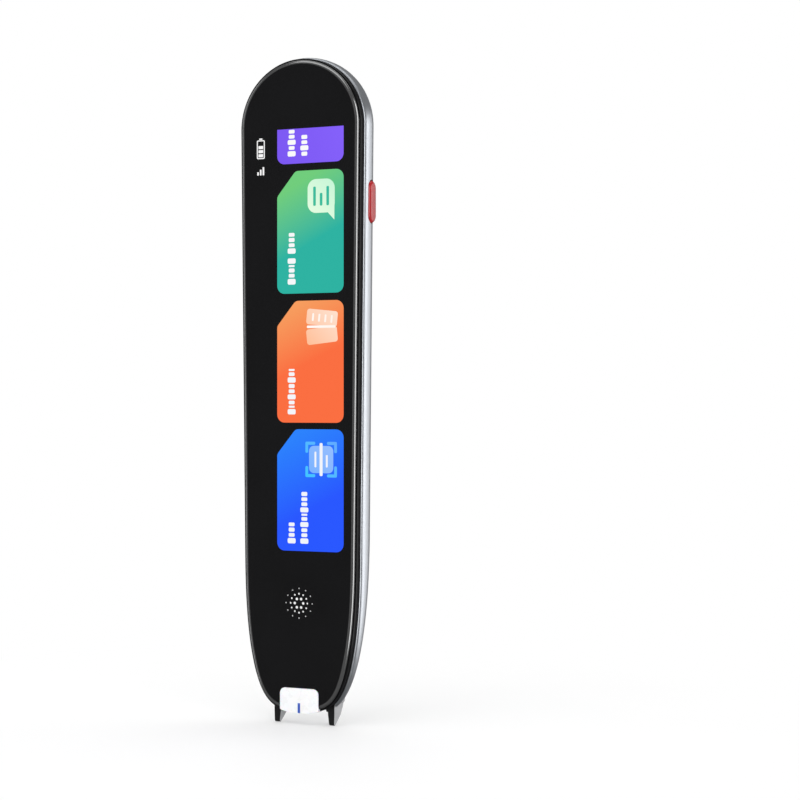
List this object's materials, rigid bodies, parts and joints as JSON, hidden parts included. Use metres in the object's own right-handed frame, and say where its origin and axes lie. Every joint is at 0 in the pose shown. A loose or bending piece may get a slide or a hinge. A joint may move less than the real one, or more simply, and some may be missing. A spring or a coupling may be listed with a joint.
{
  "type": "handheld translator",
  "caption": "Slim handheld translation pen with a glass touch front, rear camera island with charging contacts, side button and a sprung scan foot.",
  "frame": {"origin": "hand grip point: middle of the casing's length and depth, on its plane of symmetry", "axes": "+Z along the pen from the nose to the dome, -Y out of the front glass, +X towards the side button"},
  "size_m": [0.0347, 0.013, 0.1628],
  "materials": {
    "front_glass": "glossy black-backed cover glass with a curved edge",
    "black_plastic": "satin black moulded plastic",
    "shell_metal": "silver-grey metallic satin paint with a fine flake",
    "dark_panel": "dark display panel",
    "steel": "bright sheet steel",
    "copper_film": "copper-coloured flexible film",
    "board_green": "green circuit board with solder mask",
    "chip_black": "black moulded chip body",
    "socket_plastic": "cream nylon",
    "gold_contact": "gold-plated contact",
    "battery_foil": "crinkled pouch foil",
    "foam_grey": "dark grey foam and adhesive",
    "wire_plastic": "soft wire insulation",
    "speaker_mesh": "fine pale acoustic mesh",
    "island_glass": "black-backed glass of the camera island",
    "trim_yellow": "golden yellow anodised ring",
    "ring_blue": "bright blue anodised ring",
    "lens_glass": "coated lens glass",
    "contact_plastic": "light grey satin plastic",
    "button_red": "red satin plastic",
    "recess_grey": "dark grey panel",
    "window_white": "milky white plastic window",
    "mark_blue": "blue printed line",
    "lamp_white": "white lamp body",
    "foot_black": "black satin plastic, smooth sides"
  },
  "bodies": {
    "casing": {"cover_glass": "front_glass", "glass_tape": "black_plastic", "mid_frame": "black_plastic", "rear_shell": "shell_metal", "display_panel": "dark_panel", "display_back_plate": "steel", "display_ribbon": "copper_film", "main_board": "board_green", "processor": "chip_black", "memory_chip": "chip_black", "power_chip": "chip_black", "wireless_shield": "steel", "board_sockets": "socket_plastic", "microphone": "gold_contact", "board_screws": "steel", "antenna_strip": "copper_film", "battery_cell": "battery_foil", "battery_pad": "foam_grey", "battery_guard_board": "board_green", "battery_wires": "wire_plastic", "speaker_unit": "black_plastic", "speaker_foam": "foam_grey", "speaker_mesh": "speaker_mesh", "camera_window": "island_glass", "island_trim": "trim_yellow", "camera_module": "black_plastic", "camera_barrel": "black_plastic", "camera_ring": "ring_blue", "camera_lens": "lens_glass", "contact_plate": "contact_plastic", "contact_pins": "gold_contact", "contact_board": "board_green", "contact_magnets": "steel", "side_switch": "black_plastic", "scan_frame": "black_plastic", "recess_panel": "recess_grey", "hinge_arms": "black_plastic", "nose_window": "window_white", "nose_marks": "mark_blue", "scan_pane": "lens_glass", "scan_board": "board_green", "scan_camera": "black_plastic", "scan_camera_lens": "lens_glass", "scan_lamps": "lamp_white", "hinge_pins": "steel", "foot_spring": "steel", "trigger_switch": "black_plastic"},
    "foot": {"scan_foot": "foot_black"},
    "trigger": {"trigger_plunger": "socket_plastic"},
    "button": {"side_button": "button_red"},
    "button_plunger": {"side_switch_plunger": "socket_plastic"}
  },
  "joints": [
    {"name": "foot_hinge", "type": "hinge", "parent": "casing", "child": "foot", "pos_m": [0, 0.0009, -0.0766], "axis": [-1, 0, 0], "range_deg": [0, 6], "stiffness_Nm_per_rad": 0.05, "springref_deg": -2.86},
    {"name": "trigger_slide", "type": "slide", "parent": "casing", "child": "trigger", "axis": [0, 0, 1], "range_m": [0, 0.000341]},
    {"name": "button_press", "type": "slide", "parent": "casing", "child": "button", "axis": [-1, 0, 0], "range_m": [0, 0.0003], "stiffness_N_per_m": 1000, "springref_m": -0.0002},
    {"name": "button_plunger_slide", "type": "slide", "parent": "casing", "child": "button_plunger", "axis": [-1, 0, 0], "range_m": [0, 0.0003]}
  ],
  "couplings": [
    {"joint": "trigger_slide", "follows": "foot_hinge", "m_per_rad": 0.00325},
    {"joint": "button_plunger_slide", "follows": "button_press", "ratio": 1}
  ]
}
